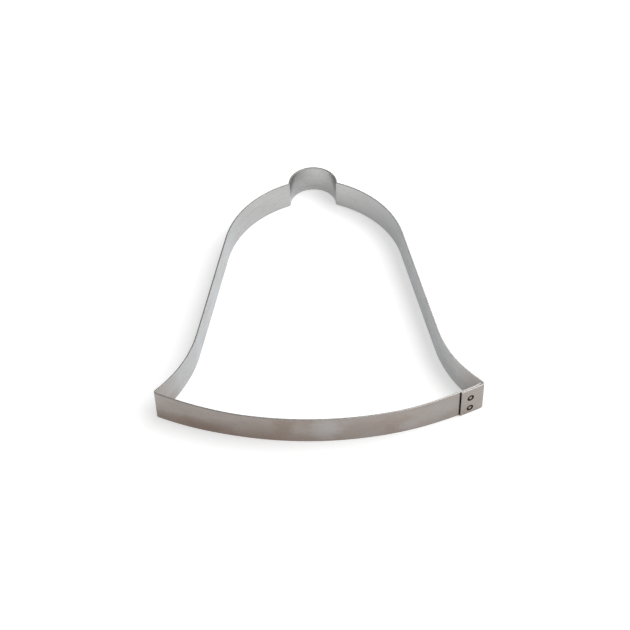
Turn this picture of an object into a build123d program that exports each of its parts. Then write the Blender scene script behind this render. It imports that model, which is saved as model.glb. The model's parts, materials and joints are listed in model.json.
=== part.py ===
"""Bell-shaped cookie cutter: one bent stainless steel strip, lapped and spot welded.

Millimetres.  +X right, +Y from the mouth towards the knob, +Z up.  The cutter
rests on its lower rim at z = 0, with the origin under the middle of its box.
"""
from build123d import *
from math import asin, cos, degrees, hypot, radians, sin, sqrt
import os

# Strip stock
strip_height = 20.0
strip_thickness = 1.0

# Bell outline, measured on the strip's outer face
mouth_width = 200.0       # between the lips, before their bends are rounded
mouth_radius = 223.5      # front band, bulging forwards
flare_angle = 45.5        # slant of the side at the lip, from straight back
flare_radius = 87.75      # hollow curve above the lip
side_angle = 10.65        # slant of the straight side
side_length = 88.6
shoulder_radius = 69.5    # one round curve from the side up to the knob
knob_radius = 16.7

# Bends, measured on the strip's outer face
corner_bend = 2.0         # at the two lips
knob_bend = 1.0           # in the two notches beside the knob

# Lap at the right lip
lap_length = 16.3         # tab, from the unrounded lip to its cut edge
lap_gap = 0.05            # air between the tab and the band under it
tail_length = 5.6         # end of the inner layer, past the welds
tail_radius = 24.0        # its curl away from the tab

# Spot welds
weld_diameter = 4.6       # whole electrode mark
weld_flat = 2.2           # flat bottom of the mark
weld_depth = 0.12         # how far the mark is pressed in, on both faces
weld_from_lip = 9.9       # along the tab, from the unrounded lip
weld_heights = {"upper_spot_weld": 12.8, "lower_spot_weld": 4.4}

# Drawing aids
run_on = 5.0              # degrees the side curves go on past the lips
reach = 2 * mouth_width   # larger than the whole cutter
merge = 5.0               # how far two stretches of the same curve run into each other
corner_top = 4 * corner_bend

lip_x = mouth_width / 2
mouth_centre = sqrt(mouth_radius**2 - lip_x**2)
lap_radius = mouth_radius + strip_thickness + lap_gap
lip_angle = degrees(asin(lip_x / lap_radius))


def arc_angle(length):
    """Angle of a length along the tab, about the mouth curve's centre."""
    return degrees(length / lap_radius)


def side_curves(inset):
    """Right side from below the lip up to the middle, set inwards by inset."""
    start = 90 + flare_angle
    end = 90 + side_angle
    flare_x = lip_x + flare_radius * sin(radians(start))
    flare_y = -flare_radius * cos(radians(start))
    sweep = start - end + run_on
    flare = CenterArc((flare_x, flare_y), flare_radius + inset, start + run_on + 90, -sweep)
    side = PolarLine(flare @ 1, side_length, end)
    top = side @ 1
    radius = shoulder_radius - inset
    centre = Vector(top.X - radius * sin(radians(end)), top.Y + radius * cos(radians(end)))
    last = 180 + degrees(asin(centre.X / radius))
    shoulder = CenterArc(centre, radius, end - 90, last - end)
    return flare, side, shoulder


def knob_y():
    """Height of the knob's centre, where its sides meet the outer shoulders."""
    middle = side_curves(0)[2].arc_center
    return middle.Y + sqrt(shoulder_radius**2 - (knob_radius - middle.X)**2)


def bell_face(front_radius, inset):
    """Everything within one face of the strip: its outer face where inset is 0."""
    flare, side, shoulder = side_curves(inset)
    right = Curve() + [flare, side, shoulder]
    foot = flare @ 0
    corners = [(foot.X, foot.Y), (foot.X, -reach), (-foot.X, -reach), (-foot.X, foot.Y)]
    blank = make_face(Curve() + [right, mirror(right, Plane.YZ), Polyline(*corners)])
    face = blank & Pos(0, mouth_centre) * Circle(front_radius - inset)
    face += Pos(0, knob_y()) * Rot(0, 0, 90) * Circle(knob_radius - inset)
    tips = face.vertices().filter_by(lambda v: abs(v.X) > knob_radius / 2)
    notches = tips.sort_by(Axis.Y)[-2:]
    face = fillet(notches, knob_bend + inset)
    lips = face.vertices().sort_by(Axis.Y)[:2]
    return fillet(lips, corner_bend - inset)


def ring(front_radius):
    """The strip's own thickness, all round the bell."""
    return bell_face(front_radius, 0) - bell_face(front_radius, strip_thickness)


def block(x_range, y_range):
    """Plain rectangle between two limits each way."""
    width = x_range[1] - x_range[0]
    depth = y_range[1] - y_range[0]
    return Pos(sum(x_range) / 2, sum(y_range) / 2) * Rectangle(width, depth)


def wedge(start, end):
    """Slice between two angles from straight ahead, about the mouth curve's centre."""
    rays = [(reach * sin(radians(a)), -reach * cos(radians(a))) for a in (start, end)]
    return Pos(0, mouth_centre) * make_face(Polyline((0, 0), rays[0], rays[1], close=True))


def front_band(end):
    """Front of the inner layer, from left of the middle to the start of its tail."""
    annulus = Circle(mouth_radius) - Circle(mouth_radius - strip_thickness)
    return (Pos(0, mouth_centre) * annulus) & wedge(-arc_angle(merge), end)


def lapped_corner():
    """Right lip: the foot of the flare, its bend and the tab."""
    corner = ring(lap_radius)
    corner -= block((-reach, lip_x / 2), (-reach, reach))
    corner -= block((0, reach), (corner_top + merge, reach))
    return corner


def tail(start):
    """Free end of the inner layer, curling a little away from the tab."""
    outer_end = Vector(sin(radians(start)), -cos(radians(start)))
    top = Vector(0, mouth_centre) + outer_end * mouth_radius
    middle = top - outer_end * tail_radius
    sweep = degrees(tail_length / tail_radius)
    annulus = Circle(tail_radius) - Circle(tail_radius - strip_thickness)
    far = 2 * tail_radius
    rays = [(far * sin(radians(a)), -far * cos(radians(a))) for a in (start, start + sweep)]
    slice_ = make_face(Polyline((0, 0), rays[0], rays[1], close=True))
    return Pos(middle.X, middle.Y) * (annulus & slice_)


def strip_profile():
    """The bent strip seen from above, from its inner end round to the tab."""
    tail_start = lip_angle - arc_angle(weld_from_lip - weld_diameter / 2)
    closed = ring(mouth_radius)
    closed -= block((0, reach), (-reach, corner_top))
    corner = lapped_corner() - wedge(0, lip_angle - arc_angle(lap_length))
    return closed + corner + front_band(tail_start) + tail(tail_start)


def weld_axis(height):
    """Frame on the tab's outer face, with +Z pointing out of the weld."""
    angle = radians(lip_angle - arc_angle(weld_from_lip))
    out = Vector(sin(angle), -cos(angle), 0)
    spot = Vector(0, mouth_centre, height) + out * lap_radius
    return Plane(origin=spot, x_dir=(0, 0, 1), z_dir=out)


def spot_weld(height):
    """Fused plug through both layers, with a dished mark at each end."""
    depth = lap_radius - mouth_radius + strip_thickness
    plug = Pos(0, 0, -depth / 2) * Cylinder(weld_diameter / 2, depth)
    dish = Cone(weld_flat / 2, weld_diameter / 2, weld_depth)
    plug -= Pos(0, 0, -weld_depth / 2) * dish
    plug -= Pos(0, 0, weld_depth / 2 - depth) * Rot(180, 0, 0) * dish
    return weld_axis(height).location * plug


def weld_hole(height):
    """Room for a weld, straight through both layers."""
    return weld_axis(height).location * Cylinder(weld_diameter / 2, 8 * strip_thickness)


def build():
    band = extrude(strip_profile(), strip_height)
    for height in weld_heights.values():
        band -= weld_hole(height)
    nodes = {"bell_strip": band}
    for name, height in weld_heights.items():
        nodes[name] = spot_weld(height)
    middle = band.bounding_box().center()
    return {name: Pos(-middle.X, -middle.Y) * solid for name, solid in nodes.items()}


os.makedirs("parts", exist_ok=True)
for name, solid in build().items():
    export_step(solid, f"parts/{name}.step")
    box = solid.bounding_box()
    print(name, len(solid.solids()), round(solid.volume, 2), box.min, box.max)
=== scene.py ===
"""Dressed scene for the bell-shaped cookie cutter: a bent, spot-welded stainless strip.

Metres, in the cutter's own frame: +X right, +Y from the mouth to the knob, +Z up.
The sizes below are in millimetres and become metres where vertices are made.
"""
import json
from math import atan2, ceil, cos, pi, radians, sin, sqrt

import bmesh
import bpy
from mathutils import Matrix, Vector, noise

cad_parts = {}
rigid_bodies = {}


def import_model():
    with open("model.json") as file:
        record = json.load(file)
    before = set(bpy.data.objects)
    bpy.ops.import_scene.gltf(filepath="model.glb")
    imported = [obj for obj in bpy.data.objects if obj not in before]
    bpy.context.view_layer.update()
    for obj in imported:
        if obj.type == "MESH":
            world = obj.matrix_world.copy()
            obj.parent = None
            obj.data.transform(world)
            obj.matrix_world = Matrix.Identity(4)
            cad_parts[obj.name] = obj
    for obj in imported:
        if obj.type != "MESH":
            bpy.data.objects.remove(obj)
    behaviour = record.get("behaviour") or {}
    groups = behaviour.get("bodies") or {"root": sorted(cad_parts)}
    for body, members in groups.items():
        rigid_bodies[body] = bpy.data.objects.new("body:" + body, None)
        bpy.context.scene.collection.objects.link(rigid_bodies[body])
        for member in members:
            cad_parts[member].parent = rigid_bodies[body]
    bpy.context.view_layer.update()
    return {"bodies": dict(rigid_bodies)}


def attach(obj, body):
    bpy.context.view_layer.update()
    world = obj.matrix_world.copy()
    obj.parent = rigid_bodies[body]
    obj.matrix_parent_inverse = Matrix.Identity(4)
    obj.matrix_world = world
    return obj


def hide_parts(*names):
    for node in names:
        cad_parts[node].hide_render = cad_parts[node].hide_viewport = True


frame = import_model()
BODY = list(frame["bodies"])[0]
MM = 0.001

# Strip and bell, as in the solids
STRIP_HEIGHT = 20.0
STRIP_THICKNESS = 1.0
LIP_X = 100.0
MOUTH_RADIUS = 223.5
FLARE_ANGLE = radians(45.5)
FLARE_RADIUS = 87.75
SIDE_ANGLE = radians(10.65)
SIDE_LENGTH = 88.6
SHOULDER_RADIUS = 69.5
KNOB_RADIUS = 16.7
CORNER_BEND = 2.0
KNOB_BEND = 1.0
LAP_LENGTH = 16.3
LAP_GAP = 0.05
TAIL_LENGTH = 5.6
TAIL_RADIUS = 24.0
WELD_FROM_LIP = 9.9
WELD_DIAMETER = 4.6
WELD_FLAT = 2.2
WELD_DEPTH = 0.12
WELD_HEIGHTS = {"upper_spot_weld": 12.8, "lower_spot_weld": 4.4}
BOX_MIDDLE = Vector((0.3842, 89.0448))   # from the middle of the lip line
BOX_HALF = (99.0, 112.66)

# How the mesh is divided
EDGE_STEPS = 4
STEP = 0.8               # along the strip
TAB_STEP = 0.3
BEND_STEP = radians(7)
ROUND_STEPS = 96         # round a weld
SHARP = radians(35)

# What tumbling and hand bending have done to the strip
EDGE_ROUND = 0.13
SPRING = 0.10            # how far the walls stray from the drawn curves
LEFT_LEAN = (0.9, -0.8)  # the lips lean back: top and bottom rim, towards the knob
RIGHT_LEAN = (2.0, 0.7)
LEAN_ACROSS = (45, 95)   # from the middle out: where the lean starts and where it is full
LEAN_ALONG = (-58, -88)  # towards the mouth, likewise

# Marks on the front band: x, height, half-length, half-height and strength
STAINS = ((-68, 5, 17, 5, 0.65), (-32, 9, 14, 7, 0.30), (-22, 12, 6, 7, 0.50),
          (25, 10, 12, 5, 0.20))
WIPED = ((4, 12, 8, 9, 0.65), (52, 5, 5, 4, 0.45), (72, 12, 15, 9, 0.35), (-93, 12, 8, 7, 0.20))
INSIDE = 2.0             # metres that the inner face's pattern is shifted along the strip

# Studio
FLOOR_HALF = 12.0        # metres
FLOOR_DROP = 0.05
FLOOR_LIFT = 0.41        # how much the card shows by itself, next to the cutter
ROOM = 0.22              # light from all round
TARGET = Vector((0, 0, 10)) * MM

# The camera, worked out from the outlines of the bell's rims
CAMERA_TILT = radians(47.0)
CAMERA_TURN = radians(0.09)
CAMERA_ROLL = radians(1.43)
CAMERA_BACK = 922.47
CAMERA_SHIFT = (0.89, 24.6)
FILM = 36
CAMERA_LENS = 1389.66 * FILM / 630
LIP_LINE_Y = -113.09     # of the lip line in the camera's own working frame

MOUTH_CENTRE = Vector((0, sqrt(MOUTH_RADIUS**2 - LIP_X**2)))
LAP_RADIUS = MOUTH_RADIUS + STRIP_THICKNESS + LAP_GAP
LIP_ANGLE = atan2(LIP_X, sqrt(LAP_RADIUS**2 - LIP_X**2))
FLARE_CENTRE = Vector((LIP_X + FLARE_RADIUS * cos(FLARE_ANGLE), FLARE_RADIUS * sin(FLARE_ANGLE)))
SIDE_OUT = Vector((cos(SIDE_ANGLE), sin(SIDE_ANGLE)))
SIDE_FOOT = FLARE_CENTRE - SIDE_OUT * FLARE_RADIUS
SIDE_TOP = SIDE_FOOT + Vector((-SIDE_OUT.y, SIDE_OUT.x)) * SIDE_LENGTH
SHOULDER_CENTRE = SIDE_TOP - SIDE_OUT * SHOULDER_RADIUS
KNOB_CENTRE = Vector((0, SHOULDER_CENTRE.y
                      + sqrt(SHOULDER_RADIUS**2 - (KNOB_RADIUS - SHOULDER_CENTRE.x)**2)))


# The line that the strip is bent to
def circles_meet(a, radius_a, b, radius_b, side):
    """The crossing of two circles that lies to one side (1 left, -1 right) of a to b."""
    line = b - a
    along = (line.length_squared + radius_a**2 - radius_b**2) / (2 * line.length)
    across = sqrt(radius_a**2 - along**2)
    line.normalize()
    return a + line * along + Vector((-line.y, line.x)) * across * side


def angle_of(vector):
    return atan2(vector.y, vector.x)


def arc(centre, radius, start, end, hollow=False):
    """Part of a circle; the strip's outer face looks away from its centre unless hollow."""
    return {"centre": centre, "radius": radius, "start": start, "end": end, "hollow": hollow}


def right_side(front_radius):
    """Arcs of the right half, from the lip's bend up to the top of the knob."""
    bend = circles_meet(MOUTH_CENTRE, front_radius - CORNER_BEND,
                        FLARE_CENTRE, FLARE_RADIUS + CORNER_BEND, -1)
    notch = circles_meet(SHOULDER_CENTRE, SHOULDER_RADIUS + KNOB_BEND,
                         KNOB_CENTRE, KNOB_RADIUS + KNOB_BEND, -1)
    lip = angle_of(bend - MOUTH_CENTRE)
    flare = angle_of(bend - FLARE_CENTRE) % (2 * pi)
    shoulder = angle_of(notch - SHOULDER_CENTRE)
    knob = angle_of(notch - KNOB_CENTRE)
    return lip, [
        arc(bend, CORNER_BEND, lip, flare - pi),
        arc(FLARE_CENTRE, FLARE_RADIUS, flare, SIDE_ANGLE + pi, hollow=True),
        {"from": SIDE_FOOT, "to": SIDE_TOP, "out": SIDE_OUT},
        arc(SHOULDER_CENTRE, SHOULDER_RADIUS, SIDE_ANGLE, shoulder),
        arc(notch, KNOB_BEND, shoulder + pi, knob + pi, hollow=True),
        arc(KNOB_CENTRE, KNOB_RADIUS, knob, pi / 2),
    ]


def mirrored(run):
    """The same stretch on the left, walked the other way."""
    flip = lambda v: Vector((-v.x, v.y))
    if "from" in run:
        return {"from": flip(run["to"]), "to": flip(run["from"]), "out": flip(run["out"])}
    start, end = pi - run["end"], pi - run["start"]
    return arc(flip(run["centre"]), run["radius"], start, end, run["hollow"])


def strip_runs():
    """The whole strip, from the tab's cut edge round to the free end under the lap."""
    seam = LIP_ANGLE - LAP_LENGTH / LAP_RADIUS
    tail = LIP_ANGLE - (WELD_FROM_LIP - WELD_DIAMETER / 2) / LAP_RADIUS
    right_lip, right = right_side(LAP_RADIUS)
    left_lip, left = right_side(MOUTH_RADIUS)
    tab = arc(MOUTH_CENTRE, LAP_RADIUS, seam - pi / 2, right_lip)
    band = arc(MOUTH_CENTRE, MOUTH_RADIUS, -pi - left_lip, tail - pi / 2)
    out = Vector((sin(tail), -cos(tail)))
    tail_centre = MOUTH_CENTRE + out * (MOUTH_RADIUS - TAIL_RADIUS)
    curl = arc(tail_centre, TAIL_RADIUS, tail - pi / 2, tail - pi / 2 + TAIL_LENGTH / TAIL_RADIUS)
    return [tab] + right + [mirrored(run) for run in reversed(left)] + [band, curl]


def span_of(run):
    """Length of a stretch in millimetres."""
    if "from" in run:
        return (run["to"] - run["from"]).length
    return abs(run["end"] - run["start"]) * run["radius"]


def walk(runs):
    """Points of the outer face with its outward direction and the length so far."""
    points = []
    length = 0.0
    for number, run in enumerate(runs):
        span = span_of(run)
        turn = 0.0 if "from" in run else run["end"] - run["start"]
        step = TAB_STEP if number == 0 else STEP
        count = max(ceil(span / step), ceil(abs(turn) / BEND_STEP), 2)
        for index in range(0 if number == 0 else 1, count + 1):
            part = index / count
            if "from" in run:
                place, out = run["from"].lerp(run["to"], part), run["out"]
            else:
                angle = run["start"] + turn * part
                ray = Vector((cos(angle), sin(angle)))
                place = run["centre"] + ray * run["radius"]
                out = -ray if run["hollow"] else ray
            points.append((place - BOX_MIDDLE, out, length + span * part))
        length += span
    return points


# The strip
def section():
    """Loop round the strip's cross-section: depth from the outer face, height."""
    rows = [EDGE_ROUND, EDGE_ROUND + 0.08, 0.7]   # closer together next to the edges
    rows += [1.5 + 0.85 * i for i in range(21)]
    rows += [STRIP_HEIGHT - h for h in reversed(rows[:3])]
    quarter = [i * pi / 2 / EDGE_STEPS for i in range(1, EDGE_STEPS)]
    top, deep = STRIP_HEIGHT - EDGE_ROUND, STRIP_THICKNESS - EDGE_ROUND
    r = EDGE_ROUND
    loop = [(0.0, z) for z in rows]
    loop += [(r - r * cos(a), top + r * sin(a)) for a in quarter]
    loop += [(r, STRIP_HEIGHT), (STRIP_THICKNESS / 2, STRIP_HEIGHT), (deep, STRIP_HEIGHT)]
    loop += [(deep + r * sin(a), top + r * cos(a)) for a in quarter]
    loop += [(STRIP_THICKNESS, z) for z in reversed(rows)]
    loop += [(deep + r * cos(a), r - r * sin(a)) for a in quarter]
    loop += [(deep, 0.0), (STRIP_THICKNESS / 2, 0.0), (r, 0.0)]
    loop += [(r - r * sin(a), r - r * cos(a)) for a in quarter]
    return loop


def stray(place, length, height):
    """Slight waviness of hand-bent strip, nothing at the box's limits or the lap."""
    reach = max(abs(place.x) / BOX_HALF[0], abs(place.y) / BOX_HALF[1])
    calm = max(0.0, min(1.0, (0.96 - reach) / 0.12))
    wave = noise.noise(Vector((length / 38.0, height / 60.0, 3.7)))
    return wave * SPRING * calm


def ease(value):
    value = max(0.0, min(1.0, value))
    return value * value * (3 - 2 * value)


def lean(mesh):
    """Tilt both lips back a little, as hand bending has left them."""
    for vert in mesh.vertices:
        x, y, z = (c / MM for c in vert.co)
        high, low = RIGHT_LEAN if x > 0 else LEFT_LEAN
        out = ease((abs(x) - LEAN_ACROSS[0]) / (LEAN_ACROSS[1] - LEAN_ACROSS[0]))
        forward = ease((y - LEAN_ALONG[0]) / (LEAN_ALONG[1] - LEAN_ALONG[0]))
        vert.co.y += (low + (high - low) * z / STRIP_HEIGHT) * out * forward * MM


def marks_along(runs):
    """How far along the strip the seam and the welds come, on the tab and on the band."""
    start = sum(span_of(run) for run in runs[:-2])
    along = lambda angle: start + (angle - pi / 2 - runs[-2]["start"]) * MOUTH_RADIUS
    weld_angle = LIP_ANGLE - WELD_FROM_LIP / LAP_RADIUS
    return {"seam": along(LIP_ANGLE - LAP_LENGTH / LAP_RADIUS) * MM,
            "tab_weld": (LAP_LENGTH - WELD_FROM_LIP) * MM,
            "band_weld": along(weld_angle) * MM + INSIDE}


def linked(name, mesh):
    piece = bpy.data.objects.new(name, mesh)
    bpy.context.collection.objects.link(piece)
    return piece


def make_strip(points):
    """Sweep the section along the strip; faces take the strip's, edges' or ends' finish."""
    loop = section()
    mesh = bpy.data.meshes.new("bell_strip_dressed")
    build = bmesh.new()
    uv = build.loops.layers.uv.new("along_strip")
    rings = []
    for place, out, length in points:
        ring = []
        for depth, height in loop:
            spot = place - out * (depth - stray(place, length, height))
            ring.append(build.verts.new((spot.x * MM, spot.y * MM, height * MM)))
        rings.append(ring)
    for i in range(len(rings) - 1):
        for j, near in enumerate(loop):
            k = (j + 1) % len(loop)
            face = build.faces.new((rings[i][j], rings[i + 1][j], rings[i + 1][k], rings[i][k]))
            on_rim = all(height > STRIP_HEIGHT - 0.6 * EDGE_ROUND or height < 0.6 * EDGE_ROUND
                         for _, height in (near, loop[k]))
            face.material_index = 1 if on_rim else 0
            inner = min(near[0], loop[k][0]) > STRIP_THICKNESS / 2
            for corner, end, row in zip(face.loops, (i, i + 1, i + 1, i), (j, j, k, k)):
                depth, height = loop[row]
                across = height + depth if on_rim else height
                corner[uv].uv = (points[end][2] * MM + (INSIDE if inner else 0), across * MM)
    for ring, order in ((rings[0], -1), (rings[-1], 1)):
        cap = build.faces.new(ring[::order])
        cap.material_index = 2
        for corner in cap.loops:
            corner[uv].uv = (0.0, corner.vert.co.z)
    bmesh.ops.recalc_face_normals(build, faces=build.faces)
    build.to_mesh(mesh)
    build.free()
    return linked("bell_strip_dressed", mesh)


# The welds
def weld_frame(height):
    """Matrix of a weld: its middle on the tab's outer face, +Z pointing out."""
    angle = LIP_ANGLE - WELD_FROM_LIP / LAP_RADIUS
    out = Vector((sin(angle), -cos(angle), 0))
    flat = MOUTH_CENTRE + out.xy * LAP_RADIUS - BOX_MIDDLE
    across = Vector((0, 0, 1)).cross(out)
    matrix = Matrix((across, Vector((0, 0, 1)), out)).transposed().to_4x4()
    matrix.translation = Vector((flat.x, flat.y, height)) * MM
    return matrix


def lathe(profile, name):
    """Closed body turned about +Z from (radius, height) pairs in millimetres."""
    mesh = bpy.data.meshes.new(name)
    build = bmesh.new()
    shade = build.verts.layers.float.new("from_middle")
    rings = []
    for radius, height in profile:
        ring = []
        for i in range(1 if radius == 0 else ROUND_STEPS):
            angle = 2 * pi * i / ROUND_STEPS
            spot = Vector((radius * cos(angle), radius * sin(angle), height)) * MM
            vert = build.verts.new(spot)
            vert[shade] = radius
            ring.append(vert)
        rings.append(ring)
    for low, high in zip(rings, rings[1:]):
        for i in range(ROUND_STEPS):
            j = (i + 1) % ROUND_STEPS
            quad = [low[i % len(low)], low[j % len(low)], high[j % len(high)], high[i % len(high)]]
            build.faces.new(list(dict.fromkeys(quad)))
    bmesh.ops.recalc_face_normals(build, faces=build.faces)
    build.to_mesh(mesh)
    build.free()
    return linked(name, mesh)


def weld_profile():
    """Half-section of a weld: dished by the electrode on both faces of the lap."""
    rim = WELD_DIAMETER / 2
    flat = WELD_FLAT / 2
    depth = 2 * STRIP_THICKNESS + LAP_GAP
    dish = [(0, -WELD_DEPTH + 0.02), (flat * 0.5, -WELD_DEPTH + 0.012), (flat * 0.85, -WELD_DEPTH),
            (flat, -WELD_DEPTH + 0.004), (flat * 1.25, -WELD_DEPTH * 0.72),
            (rim * 0.82, -WELD_DEPTH * 0.25), (rim * 0.93, -WELD_DEPTH * 0.05), (rim, 0.0)]
    back = [(radius, -depth - height) for radius, height in reversed(dish)]
    return dish + [(rim, -0.08), (rim, -depth + 0.08)] + back


def weld_hole(strip, matrix):
    """Take the weld's round hole out of both layers and keep the result as a plain mesh."""
    rim, clear_out, clear_in = WELD_DIAMETER / 2, 3.0, -5.0
    cutter = lathe([(0, clear_out), (rim, clear_out), (rim, clear_in), (0, clear_in)], "cutter")
    cutter.data.transform(matrix)
    step = strip.modifiers.new("weld_hole", "BOOLEAN")
    step.operation = "DIFFERENCE"
    step.solver = "EXACT"
    step.object = cutter
    bpy.context.view_layer.update()
    graph = bpy.context.evaluated_depsgraph_get()
    mesh = bpy.data.meshes.new_from_object(strip.evaluated_get(graph))
    strip.modifiers.clear()
    strip.data = mesh
    bpy.data.objects.remove(cutter)


# Materials
def hex_colour(code):
    """sRGB hex to the linear values that a shader takes."""
    parts = [int(code[i:i + 2], 16) / 255 for i in (1, 3, 5)]
    linear = [p / 12.92 if p <= 0.04045 else ((p + 0.055) / 1.055) ** 2.4 for p in parts]
    return (*linear, 1.0)


def node(tree, kind, inputs=(), out=0, **settings):
    """Add one node with its settings and inputs, and give back one output, or all for None.

    The inputs come by name or number, or in a row from the first one on. A socket is linked,
    a hex colour is turned linear, and any other value is set as it is."""
    made = tree.nodes.new("ShaderNode" + kind)
    for name, value in settings.items():
        setattr(made, name, value)
    for key, value in inputs.items() if isinstance(inputs, dict) else enumerate(inputs):
        if isinstance(value, bpy.types.NodeSocket):
            tree.links.new(value, made.inputs[key])
        else:
            made.inputs[key].default_value = hex_colour(value) if isinstance(value, str) else value
    return made.outputs if out is None or not made.outputs else made.outputs[out]


def fresh(name):
    """A material and its emptied node tree."""
    material = bpy.data.materials.new(name)
    material.use_nodes = True
    material.node_tree.nodes.clear()
    return material, material.node_tree


def painted(tree, colour, layers):
    """Lay tones over a colour one after the other, each by its own amount."""
    for amount, tone in layers:
        colour = node(tree, "Mix", {0: amount, 6: colour, 7: tone}, out=2, data_type="RGBA")
    return colour


def front_share(tree, body, run):
    """How far a place belongs to the front band, browned and darkened by painted shade: wholly on
    the outer face and at the lips, partly on the inner face between them, and not at all from the
    flares up."""
    x, y, _ = node(tree, "SeparateXYZ", (body,), out=None)
    outer = node(tree, "MapRange", (run, 0.5 * INSIDE, 0.5 * INSIDE + 0.1, 1.0, 0.4))
    side = node(tree, "Math", (x,), operation="ABSOLUTE")
    lip = node(tree, "MapRange", (side, 0.072, 0.086, 0.0, 1.0))
    cover = node(tree, "Math", (outer, lip), operation="MAXIMUM")
    band = node(tree, "MapRange", (y, -0.070, -0.095, 0.0, 1.0))
    return node(tree, "Math", (band, cover), operation="MULTIPLY")


def browning_painted_shade_and_handling(tree, body, front, grime, smudge):
    """Brown tint and painted shade on the front band, painted shade darker towards its lower left
    edge, with grime and smudges.
    """
    x, _, z = node(tree, "SeparateXYZ", (body,), out=None)
    # painted shade: darker towards the bottom, over the left half of the front band
    edge = node(tree, "MapRange", (z, 0.0095, 0.0035, 0.0, 1.0))
    west = node(tree, "MapRange", (x, 0.030, -0.030, 0.05, 1.0))
    low = node(tree, "Math", (front, edge), operation="MULTIPLY")
    low = node(tree, "Math", (low, west), operation="MULTIPLY")
    # front band tone: brown tint plus painted shade; lower left edge tone: painted shade
    layers = [(front, "#98908B"), (low, "#8A7C74")]
    for field, least, most, tone in ((grime, 0.1, 0.8, "#8E8077"), (smudge, 0.08, 0.55, "#938A83")):
        share = node(tree, "MapRange", (front, 0, 1, least, most))
        layers.append((node(tree, "Math", (field, share), operation="MULTIPLY"), tone))
    return layers


def stains_and_wiped(tree, body, front, smears):
    """Brown stains, and patches wiped back to grey, with ragged edges."""
    ragged = node(tree, "MapRange", (smears, 0.35, 0.65, -0.45, 0.45))
    layers = []
    for spots, tone in ((STAINS, "#7F7067"), (WIPED, "#A4A2A0")):
        for x, z, long, tall, strength in spots:
            spot = node(tree, "Mapping", {
                "Vector": body, "Location": Vector((x, 0, z)) * MM,
                "Scale": (long * MM, 1.0, tall * MM)}, vector_type="TEXTURE")
            flat = node(tree, "VectorMath", (spot, (1, 0, 1)), operation="MULTIPLY")
            away = node(tree, "VectorMath", (flat,), out="Value", operation="LENGTH")
            away = node(tree, "Math", (away, ragged), operation="ADD")
            near = node(tree, "MapRange", (away, 0.4, 1.5, strength, 0.0))
            layers.append((node(tree, "Math", (near, front), operation="MULTIPLY"), tone))
    return layers


def heat_tint_and_seam_shadow(tree, place, run, marks):
    """Straw-coloured heat round each weld, and a painted shadow in the step at the lap's edge."""
    layers = []
    for height in WELD_HEIGHTS.values():
        for along in (marks["tab_weld"], marks["band_weld"]):
            gap = node(tree, "VectorMath", (place, (along, height * MM, 0)), out="Value",
                       operation="DISTANCE")
            near = node(tree, "MapRange", (gap, 2.3 * MM, 4.0 * MM, 0.25, 0.0))
            layers.append((near, "#A39480"))
    # painted shadow of the tab's cut edge on the band beside the seam
    seam = marks["seam"]
    after = node(tree, "MapRange", (run, seam - 1.0 * MM, seam - 0.3 * MM, 0.0, 0.92))
    before = node(tree, "MapRange", (run, seam + 1.0 * MM, seam + 1.1 * MM, 1.0, 0.0))
    layers.append((node(tree, "Math", (after, before), operation="MULTIPLY"), "#2B2624"))
    return layers


def rolled_stainless(marks):
    """Cold-rolled stainless strip with its mill finish: a soft grey mirror with faint lines
    along its length. Handling and oven heat have browned the front band, and painted shade darkens
    it, most towards its lower left edge. The rolling lines are really some hundredths of a
    millimetre apart and are drawn coarser, so that they show."""
    material, tree = fresh("rolled_stainless")
    place = node(tree, "UVMap", uv_map="along_strip")
    body = node(tree, "TexCoord", out="Object")
    run = node(tree, "SeparateXYZ", (place,))
    fields = []
    for vector, size, detail, rough, stretch, seed in (
            (place, 1.3, 3, 0.5, (0.025, 1, 1), 0.0),    # rolling lines
            (body, 30, 4, 0.55, (1, 1, 1), 1.3),         # grime
            (place, 9, 5, 0.65, (0.45, 1, 1), 4.1),      # smears of fingers and cloths
            (body, 18, 2, 0.5, (1, 1, 1), 7.7)):         # unevenness from bending
        moved = node(tree, "Mapping", {
            "Vector": vector, "Location": (seed, seed * 0.7, 0), "Scale": stretch})
        fields.append(node(tree, "TexNoise", {
            "Vector": moved, "Scale": 1 / (size * MM), "Detail": detail, "Roughness": rough}))
    lines, patches, smears, dents = fields
    grime = node(tree, "MapRange", (patches, 0.50, 0.75, 0.0, 1.0))
    smudge = node(tree, "MapRange", (smears, 0.46, 0.74, 0.0, 1.0))
    front = front_share(tree, body, run)
    grain = node(tree, "MapRange", (lines, 0.35, 0.65, 0.0, 1.0))
    colour = painted(tree, "#AEAEAE", [(grain, "#B6B6B5")]
                     + browning_painted_shade_and_handling(tree, body, front, grime, smudge)
                     + stains_and_wiped(tree, body, front, smears)
                     + heat_tint_and_seam_shadow(tree, place, run, marks))
    dull = node(tree, "Math", (grime, smudge), operation="MAXIMUM")
    dull = node(tree, "MapRange", (dull, 0, 1, 0.21, 0.36))
    fine = node(tree, "MapRange", (lines, 0.3, 0.7, -0.03, 0.03))
    rough = node(tree, "Math", (dull, fine), operation="ADD")
    bump = node(tree, "Bump", {"Height": dents, "Distance": 0.10 * MM, "Strength": 1.0})
    bump = node(tree, "Bump", {"Height": lines, "Distance": 0.0025 * MM, "Strength": 1.0,
                               "Normal": bump})
    shader = node(tree, "BsdfPrincipled", {
        "Base Color": colour, "Roughness": rough, "Normal": bump, "Metallic": 1.0,
        "Anisotropic": 0.5, "Specular Tint": "#EDEFF1"})
    node(tree, "OutputMaterial", {"Surface": shader})
    return material


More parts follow.
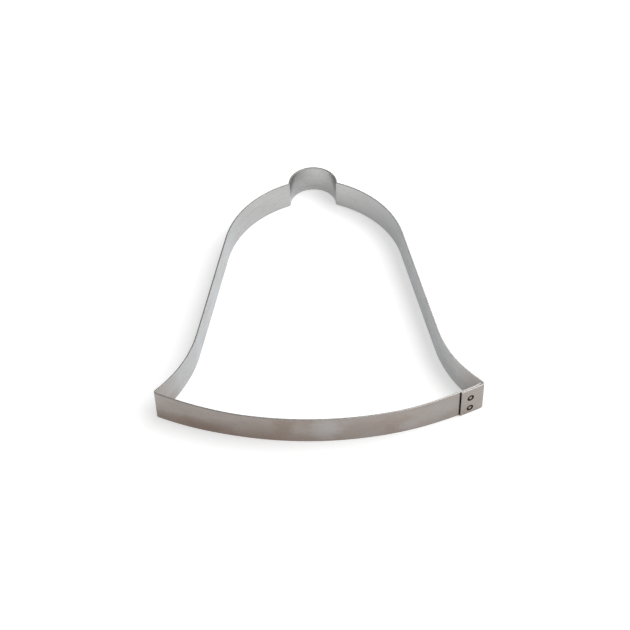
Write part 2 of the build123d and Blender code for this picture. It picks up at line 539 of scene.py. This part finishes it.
def slit_edge():
    """The slit edge of the strip, dulled by tumbling: bright, with scuffs and small nicks."""
    material, tree = fresh("slit_edge")
    place = node(tree, "UVMap", uv_map="along_strip")
    nicks = node(tree, "TexNoise", {
        "Vector": place, "Scale": 1 / (2.5 * MM), "Detail": 5, "Roughness": 0.7})
    bump = node(tree, "Bump", {"Height": nicks, "Distance": 0.006 * MM, "Strength": 1.0})
    shader = node(tree, "BsdfPrincipled", {
        "Base Color": painted(tree, "#A6A3A0", [(nicks, "#CFCDC9")]), "Normal": bump,
        "Roughness": node(tree, "MapRange", (nicks, 0.3, 0.7, 0.22, 0.34)), "Metallic": 1.0})
    node(tree, "OutputMaterial", {"Surface": shader})
    return material


def sheared_end():
    """The sheared ends of the strip: torn steel dark with oxide, and darker still by painted shade
    of the gap at the lap.
    """
    material, tree = fresh("sheared_end")
    body = node(tree, "TexCoord", out="Object")
    flat = node(tree, "Mapping", {"Vector": body, "Scale": (1, 1, 0.3)})
    torn = node(tree, "TexNoise", {
        "Vector": flat, "Scale": 1 / (1.2 * MM), "Detail": 5, "Roughness": 0.7})
    shader = node(tree, "BsdfPrincipled", {
        # near-black base: oxide plus painted shade of the gap at the lap
        "Base Color": painted(tree, "#24201E", [(torn, "#5A524C")]),
        "Roughness": node(tree, "MapRange", (torn, 0.3, 0.7, 0.45, 0.7)), "Metallic": 1.0})
    node(tree, "OutputMaterial", {"Surface": shader})
    return material


def weld_mark():
    """Resistance weld: a pressed grey middle in a ring burnt dark by the heat."""
    material, tree = fresh("weld_mark")
    radius = node(tree, "Attribute", out="Fac", attribute_name="from_middle")
    body = node(tree, "TexCoord", out="Object")
    moved = node(tree, "Mapping", {"Vector": body, "Location": (2.2, 1.54, 0)})
    speckle = node(tree, "TexNoise", {
        "Vector": moved, "Scale": 1 / (0.8 * MM), "Detail": 4, "Roughness": 0.7})
    wobble = node(tree, "MapRange", (speckle, 0.3, 0.7, -0.25, 0.25))
    radius = node(tree, "Math", (radius, wobble), operation="ADD")
    ring = node(tree, "MapRange", (radius, 0.75, 1.15, 0.0, 1.0))
    fade = node(tree, "MapRange", (radius, 2.1, 2.4, 0.0, 0.7))
    bump = node(tree, "Bump", {"Height": speckle, "Distance": 0.03 * MM, "Strength": 1.0})
    shader = node(tree, "BsdfPrincipled", {
        "Base Color": painted(tree, "#9B9188", [(ring, "#261E1A"), (fade, "#75675A")]),
        "Roughness": node(tree, "MapRange", (ring, 0, 1, 0.35, 0.6)), "Normal": bump,
        "Metallic": 0.9})
    node(tree, "OutputMaterial", {"Surface": shader})
    return material


def seen_by_eye(tree):
    """1 for a ray that the eye follows, straight or off metal and glass, and 0 for lighting."""
    path = node(tree, "LightPath", out=None)
    seen = path["Is Camera Ray"]
    for kind in ("Is Glossy Ray", "Is Transmission Ray"):
        seen = node(tree, "Math", (seen, path[kind]), operation="MAXIMUM")
    return seen


def white_card():
    """Matt white card: white to the eye and in the metal, and it keeps the cutter's shadow."""
    material, tree = fresh("white_card")
    body = node(tree, "TexCoord", out="Object")
    away = node(tree, "VectorMath", (body,), out="Value", operation="LENGTH")
    lift = node(tree, "MapRange", (away, 0.3, 1.2, FLOOR_LIFT, 1.0))
    lift = node(tree, "Math", (seen_by_eye(tree), lift), operation="MULTIPLY")
    shader = node(tree, "BsdfPrincipled", {
        "Base Color": "#EDEDED", "Roughness": 0.9, "Specular IOR Level": 0.0,
        "Emission Color": "#FFFFFF", "Emission Strength": lift})
    node(tree, "OutputMaterial", {"Surface": shader})
    return material


# Studio
def floor():
    mesh = bpy.data.meshes.new("floor")
    corners = [(x * FLOOR_HALF, y * FLOOR_HALF, 0) for x, y in ((-1, -1), (1, -1), (1, 1), (-1, 1))]
    mesh.from_pydata(corners, [], [(0, 1, 2, 3)])
    mesh.materials.append(white_card())
    piece = linked("floor", mesh)
    piece.location.z = -FLOOR_DROP * MM


def softbox(name, azimuth, elevation, distance, size, power):
    """Area lamp; azimuth in degrees from straight behind (+Y) towards +X."""
    lamp = bpy.data.lights.new(name, "AREA")
    lamp.shape = "RECTANGLE"
    lamp.size, lamp.size_y = size
    lamp.energy = power
    a, e = radians(azimuth), radians(elevation)
    ray = Vector((sin(a) * cos(e), cos(a) * cos(e), sin(e)))
    piece = linked(name, lamp)
    piece.location = TARGET + ray * distance
    piece.rotation_euler = ray.to_track_quat("Z", "Y").to_euler()


def room():
    """World: grey light, stronger from the front, with a white backdrop low all round."""
    world = bpy.data.worlds.new("studio")
    bpy.context.scene.world = world
    world.use_nodes = True
    tree = world.node_tree
    tree.nodes.clear()
    way = node(tree, "TexCoord", out="Generated")
    _, back, up = node(tree, "SeparateXYZ", (way,), out=None)
    light = node(tree, "MapRange", (back, -0.4, 0.75, 2.4, 1.3))
    light = node(tree, "Math", (light, ROOM), operation="MULTIPLY")
    backdrop = node(tree, "MapRange", (up, 0.10, 0.35, 1.0, 0.0))
    backdrop = node(tree, "Math", (seen_by_eye(tree), backdrop), operation="MULTIPLY")
    shown = node(tree, "Math", (light, backdrop), operation="MAXIMUM")
    around = node(tree, "Background", {"Color": "#FFFFFF", "Strength": shown})
    node(tree, "OutputWorld", {"Surface": around})


def place_camera():
    """Camera at the photograph's angle: tilted down, turned and rolled very slightly."""
    lens = bpy.data.cameras.new("camera")
    lens.lens, lens.sensor_width = CAMERA_LENS, FILM
    lens.clip_start = 0.01
    s, c = sin(CAMERA_TILT), cos(CAMERA_TILT)
    shift_x, shift_y = CAMERA_SHIFT
    turn = Matrix.Rotation(-CAMERA_TURN, 3, "Z")
    right, up, ahead = Vector((1, 0, 0)), Vector((0, s, c)), Vector((0, c, -s))
    r, q = sin(CAMERA_ROLL), cos(CAMERA_ROLL)
    axes = (turn @ (right * q - up * r), turn @ (right * r + up * q), turn @ -ahead)
    spot = Vector((-shift_x, -shift_y * s - CAMERA_BACK * c, -shift_y * c + CAMERA_BACK * s))
    spot = turn @ spot - Vector((BOX_MIDDLE.x, LIP_LINE_Y + BOX_MIDDLE.y, 0))
    matrix = Matrix(axes).transposed().to_4x4()
    matrix.translation = spot * MM
    piece = linked("camera", lens)
    piece.matrix_world = matrix
    bpy.context.scene.camera = piece


# Assembly
place_camera()
runs = strip_runs()
strip = make_strip(walk(runs))
for node_name, weld_height in WELD_HEIGHTS.items():
    matrix = weld_frame(weld_height)
    weld_hole(strip, matrix)
    mark = lathe(weld_profile(), node_name.replace("spot_weld", "weld_mark"))
    mark.data.transform(matrix)
    lean(mark.data)
    mark.data.materials.append(weld_mark())
    mark.data.shade_smooth()
    mark.data.set_sharp_from_angle(angle=SHARP)
    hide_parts(node_name)
    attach(mark, BODY)

lean(strip.data)
for finish in (rolled_stainless(marks_along(runs)), slit_edge(), sheared_end()):
    strip.data.materials.append(finish)
strip.data.shade_smooth()
strip.data.set_sharp_from_angle(angle=SHARP)
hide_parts("bell_strip")
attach(strip, BODY)

floor()
room()
softbox("key", azimuth=84, elevation=52, distance=1.3, size=(1.15, 1.15), power=12)
softbox("rim_light", azimuth=25, elevation=46, distance=1.4, size=(0.6, 0.8), power=1.7)
bpy.context.scene.view_settings.view_transform = "Standard"
